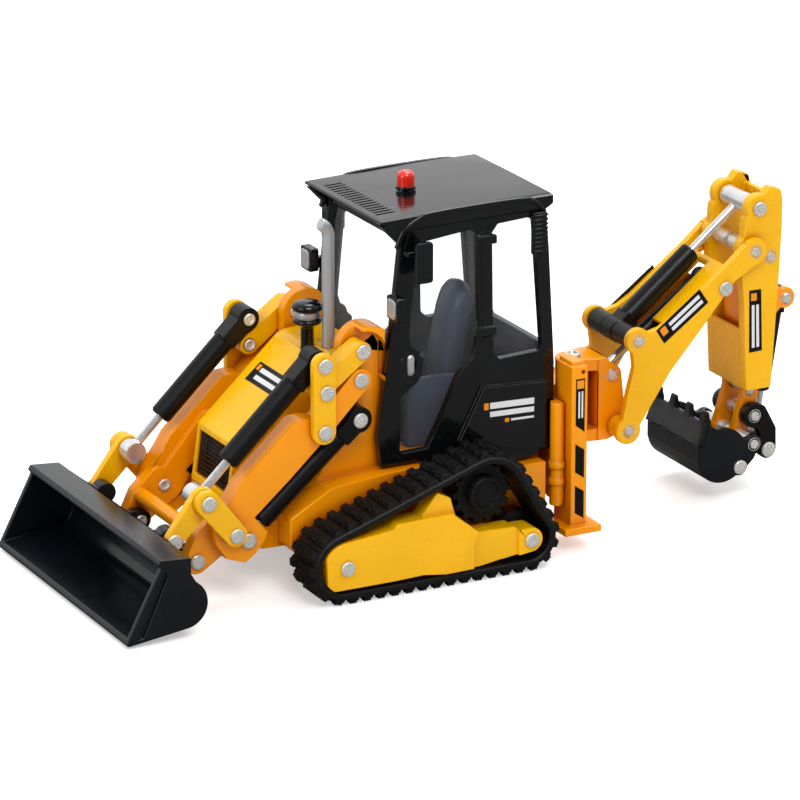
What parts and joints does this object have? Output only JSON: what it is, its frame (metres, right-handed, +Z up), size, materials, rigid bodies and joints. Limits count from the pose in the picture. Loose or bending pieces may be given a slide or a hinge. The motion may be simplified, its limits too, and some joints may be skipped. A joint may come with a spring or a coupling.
{
  "type": "toy backhoe loader",
  "caption": "Tracked toy backhoe loader with a hinged loader bucket, slewing backhoe arm, black cab and riveted linkages.",
  "frame": {"origin": "middle of the bounding box at rest, at ground level under the tracks", "axes": "+X towards the loader bucket (the machine's front), +Y to the machine's left, +Z up; rest pose is bucket on the ground and backhoe folded over"},
  "size_m": [0.1626, 0.062, 0.0763],
  "materials": {
    "body_paint": "gloss",
    "yellow_plastic": "gloss",
    "black_plastic": "gloss",
    "ram_black": "satin",
    "scoop_paint": "satin",
    "tread": "matt",
    "wheel_plastic": "satin",
    "rivet_nickel": "polished",
    "rod_chrome": "polished",
    "silver_plastic": "metallic",
    "beacon_red": "gloss",
    "clear_glazing": "clear",
    "seat_grey": "satin"
  },
  "bodies": {
    "machine": {"chassis": "body_paint", "bonnet": "yellow_plastic", "front_grille": "ram_black", "side_vents": "ram_black", "exhaust_stack": "silver_plastic", "air_cleaner": "ram_black", "cab_frame": "black_plastic", "roof": "black_plastic", "beacon": "beacon_red", "cab_glazing": "clear_glazing", "cab_mirrors": "black_plastic", "work_lamps": "black_plastic", "seat": "seat_grey", "track_frame_left": "yellow_plastic", "track_frame_right": "yellow_plastic", "track_belt_left": "tread", "track_belt_right": "tread", "chassis_rivets": "rivet_nickel", "rear_frame": "body_paint"},
    "sprocket_left": {"sprocket_left": "wheel_plastic"},
    "front_idler_left": {"front_idler_left": "wheel_plastic"},
    "rear_idler_left": {"rear_idler_left": "wheel_plastic"},
    "stabiliser_left": {"stabiliser_left": "body_paint"},
    "sprocket_right": {"sprocket_right": "wheel_plastic"},
    "front_idler_right": {"front_idler_right": "wheel_plastic"},
    "rear_idler_right": {"rear_idler_right": "wheel_plastic"},
    "stabiliser_right": {"stabiliser_right": "body_paint"},
    "arms": {"loader_arms": "body_paint"},
    "tie_links": {"tie_links": "yellow_plastic"},
    "rear_levers": {"rear_levers": "yellow_plastic", "rear_lever_rivets": "rivet_nickel"},
    "crowd_barrels": {"crowd_ram_barrels": "ram_black", "crowd_ram_rivets": "rivet_nickel"},
    "crowd_rods": {"crowd_ram_rods": "rod_chrome"},
    "front_lever_pins": {"front_lever_rivets": "rivet_nickel"},
    "front_levers": {"front_levers": "yellow_plastic"},
    "tipping_pins": {"tipping_rivets": "rivet_nickel"},
    "tipping_links": {"tipping_links": "yellow_plastic"},
    "bucket_pins": {"bucket_rivets": "rivet_nickel"},
    "loader_bucket": {"loader_bucket": "scoop_paint"},
    "lift_barrels": {"lift_ram_barrels": "ram_black"},
    "lift_rods": {"lift_ram_rods": "rod_chrome"},
    "slew_post": {"slew_post": "body_paint", "post_rivets": "rivet_nickel"},
    "boom": {"boom": "yellow_plastic", "boom_rivets": "rivet_nickel"},
    "boom_ram_rod": {"boom_ram_rod": "rod_chrome"},
    "boom_ram_barrel": {"boom_ram_barrel": "ram_black"},
    "dipper": {"dipper": "yellow_plastic", "dipper_rivets": "rivet_nickel"},
    "dipper_ram_barrel": {"dipper_ram_barrel": "ram_black"},
    "dipper_ram_rod": {"dipper_ram_rod": "rod_chrome"},
    "dipper_extension": {"dipper_extension": "body_paint", "extension_rivets": "rivet_nickel"},
    "bucket_ram_barrel": {"bucket_ram_barrel": "ram_black"},
    "bucket_ram_rod": {"bucket_ram_rod": "rod_chrome"},
    "tipping_levers": {"tipping_levers": "ram_black"},
    "bucket_link": {"bucket_link": "ram_black"},
    "digging_bucket": {"digging_bucket": "scoop_paint", "link_rivet": "rivet_nickel"}
  },
  "joints": [
    {"name": "sprocket_left", "type": "hinge", "parent": "machine", "child": "sprocket_left", "pos_m": [0.0025, 0, 0.0171], "axis": [0, -1, 0], "continuous": true},
    {"name": "front_idler_left", "type": "hinge", "parent": "machine", "child": "front_idler_left", "pos_m": [0.0339, 0, 0.0078], "axis": [0, -1, 0], "continuous": true},
    {"name": "rear_idler_left", "type": "hinge", "parent": "machine", "child": "rear_idler_left", "pos_m": [-0.0064, 0, 0.0069], "axis": [0, -1, 0], "continuous": true},
    {"name": "stabiliser_left", "type": "slide", "parent": "machine", "child": "stabiliser_left", "axis": [0, 0, -1], "range_m": [-0.0035, 0.008]},
    {"name": "sprocket_right", "type": "hinge", "parent": "machine", "child": "sprocket_right", "pos_m": [0.0025, 0, 0.0171], "axis": [0, -1, 0], "continuous": true},
    {"name": "front_idler_right", "type": "hinge", "parent": "machine", "child": "front_idler_right", "pos_m": [0.0339, 0, 0.0078], "axis": [0, -1, 0], "continuous": true},
    {"name": "rear_idler_right", "type": "hinge", "parent": "machine", "child": "rear_idler_right", "pos_m": [-0.0064, 0, 0.0069], "axis": [0, -1, 0], "continuous": true},
    {"name": "stabiliser_right", "type": "slide", "parent": "machine", "child": "stabiliser_right", "axis": [0, 0, -1], "range_m": [-0.0035, 0.008]},
    {"name": "lift", "type": "hinge", "parent": "machine", "child": "arms", "pos_m": [0.0254, 0, 0.0414], "axis": [0, -1, 0], "range_deg": [0, 50]},
    {"name": "tie_link", "type": "hinge", "parent": "machine", "child": "tie_links", "pos_m": [0.0249, 0, 0.0471], "axis": [0, -1, 0], "range_deg": [0, 52.9]},
    {"name": "lift_barrel", "type": "hinge", "parent": "machine", "child": "lift_barrels", "pos_m": [0.0256, 0, 0.0333], "axis": [0, -1, 0], "range_deg": [0, 53.1]},
    {"name": "lift_rod", "type": "slide", "parent": "lift_barrels", "child": "lift_rods", "axis": [0.7586, 0, -0.6516], "range_m": [0, 0.00648]},
    {"name": "rear_lever", "type": "hinge", "parent": "arms", "child": "rear_levers", "pos_m": [0.0341, 0, 0.0326], "axis": [0, -1, 0], "range_deg": [-36.1, 0]},
    {"name": "crowd_barrel", "type": "hinge", "parent": "rear_levers", "child": "crowd_barrels", "pos_m": [0.0341, 0, 0.0461], "axis": [0, -1, 0], "range_deg": [0, 25.7]},
    {"name": "front_lever_pin", "type": "hinge", "parent": "arms", "child": "front_lever_pins", "pos_m": [0.0531, 0, 0.0148], "axis": [0, -1, 0], "range_deg": [-48.4, 0]},
    {"name": "bucket_pin", "type": "hinge", "parent": "arms", "child": "bucket_pins", "pos_m": [0.0594, 0, 0.0091], "axis": [0, -1, 0], "range_deg": [-61.7, 0]},
    {"name": "tipping_pin", "type": "hinge", "parent": "front_levers", "child": "tipping_pins", "pos_m": [0.059, 0, 0.0222], "axis": [0, -1, 0], "range_deg": [0, 35]},
    {"name": "crowd", "type": "slide", "parent": "crowd_barrels", "child": "crowd_rods", "axis": [0.7214, 0, -0.6925], "range_m": [-0.0041, 0.0027]},
    {"name": "bucket_tip", "type": "hinge", "parent": "bucket_pins", "child": "loader_bucket", "pos_m": [0.0594, 0, 0.0091], "axis": [0, -1, 0], "range_deg": [-19.8, 30]},
    {"name": "front_lever", "type": "hinge", "parent": "front_lever_pins", "child": "front_levers", "pos_m": [0.0531, 0, 0.0148], "axis": [0, -1, 0], "range_deg": [-17.7, 26.9]},
    {"name": "tipping_link", "type": "hinge", "parent": "tipping_pins", "child": "tipping_links", "pos_m": [0.059, 0, 0.0222], "axis": [0, -1, 0], "range_deg": [-23.6, 15.5]},
    {"name": "slew", "type": "hinge", "parent": "machine", "child": "slew_post", "pos_m": [-0.0316, 0, 0.024], "axis": [0, 0, 1], "range_deg": [-70, 70]},
    {"name": "boom", "type": "hinge", "parent": "slew_post", "child": "boom", "pos_m": [-0.0395, 0, 0.0181], "axis": [0, -1, 0], "range_deg": [-25, 25]},
    {"name": "boom_ram_swing", "type": "hinge", "parent": "slew_post", "child": "boom_ram_rod", "pos_m": [-0.0384, 0, 0.0287], "axis": [0, -1, 0], "range_deg": [-29.8, 29.8]},
    {"name": "boom_ram_stroke", "type": "slide", "parent": "boom_ram_rod", "child": "boom_ram_barrel", "axis": [-0.8171, 0, 0.5765], "range_m": [-0.00361, 0.00361]},
    {"name": "dipper", "type": "hinge", "parent": "boom", "child": "dipper", "pos_m": [-0.0685, 0, 0.0518], "axis": [0, -1, 0], "range_deg": [-60, 12]},
    {"name": "dipper_ram_swing", "type": "hinge", "parent": "boom", "child": "dipper_ram_barrel", "pos_m": [-0.0415, 0, 0.0368], "axis": [0, -1, 0], "range_deg": [-7.8, 1.6]},
    {"name": "dipper_ram_stroke", "type": "slide", "parent": "dipper_ram_barrel", "child": "dipper_ram_rod", "axis": [-0.7764, 0, 0.6303], "range_m": [-0.00708, 0.00142]},
    {"name": "extension", "type": "slide", "parent": "dipper", "child": "dipper_extension", "axis": [-0.02, 0, -0.9998], "range_m": [0, 0.014]},
    {"name": "curl", "type": "hinge", "parent": "dipper_extension", "child": "digging_bucket", "pos_m": [-0.0685, 0, 0.0111], "axis": [0, -1, 0], "range_deg": [-100, 0]},
    {"name": "tipping_lever", "type": "hinge", "parent": "dipper_extension", "child": "tipping_levers", "pos_m": [-0.0709, 0, 0.0156], "axis": [0, -1, 0], "range_deg": [-66.6, 0]},
    {"name": "bucket_link", "type": "hinge", "parent": "tipping_levers", "child": "bucket_link", "pos_m": [-0.0742, 0, 0.00795], "axis": [0, -1, 0], "range_deg": [-42.3, 0]},
    {"name": "bucket_ram_swing", "type": "hinge", "parent": "dipper_extension", "child": "bucket_ram_barrel", "pos_m": [-0.0791, 0, 0.0391], "axis": [0, -1, 0], "range_deg": [-10.7, 0]},
    {"name": "bucket_ram_stroke", "type": "slide", "parent": "bucket_ram_barrel", "child": "bucket_ram_rod", "axis": [0.1554, 0, -0.9879], "range_m": [-0.00765, 0]}
  ],
  "couplings": [
    {"joint": "front_idler_left", "follows": "sprocket_left", "ratio": 1.2642},
    {"joint": "rear_idler_left", "follows": "sprocket_left", "ratio": 1.5227},
    {"joint": "front_idler_right", "follows": "sprocket_right", "ratio": 1.2642},
    {"joint": "rear_idler_right", "follows": "sprocket_right", "ratio": 1.5227},
    {"joint": "tie_link", "follows": "lift", "ratio": 1.0563},
    {"joint": "lift_barrel", "follows": "lift", "ratio": 1.0603},
    {"joint": "lift_rod", "follows": "lift", "m_per_rad": 0.007425},
    {"joint": "rear_lever", "follows": "lift", "ratio": -0.721},
    {"joint": "crowd_barrel", "follows": "lift", "ratio": 0.5132},
    {"joint": "front_lever_pin", "follows": "lift", "ratio": -0.9668},
    {"joint": "bucket_pin", "follows": "lift", "ratio": -1.2337},
    {"joint": "tipping_pin", "follows": "lift", "ratio": 0.6987},
    {"joint": "bucket_tip", "follows": "crowd", "rad_per_m": -127.66},
    {"joint": "front_lever", "follows": "crowd", "rad_per_m": -114.27},
    {"joint": "tipping_link", "follows": "crowd", "rad_per_m": 100.06},
    {"joint": "boom_ram_swing", "follows": "boom", "ratio": 1.1883},
    {"joint": "boom_ram_stroke", "follows": "boom", "m_per_rad": 0.008272},
    {"joint": "dipper_ram_swing", "follows": "dipper", "ratio": 0.1287},
    {"joint": "dipper_ram_stroke", "follows": "dipper", "m_per_rad": 0.006753},
    {"joint": "tipping_lever", "follows": "curl", "ratio": 0.6658},
    {"joint": "bucket_link", "follows": "curl", "ratio": 0.4222},
    {"joint": "bucket_ram_swing", "follows": "curl", "ratio": 0.1066},
    {"joint": "bucket_ram_stroke", "follows": "curl", "m_per_rad": 0.0043783}
  ]
}
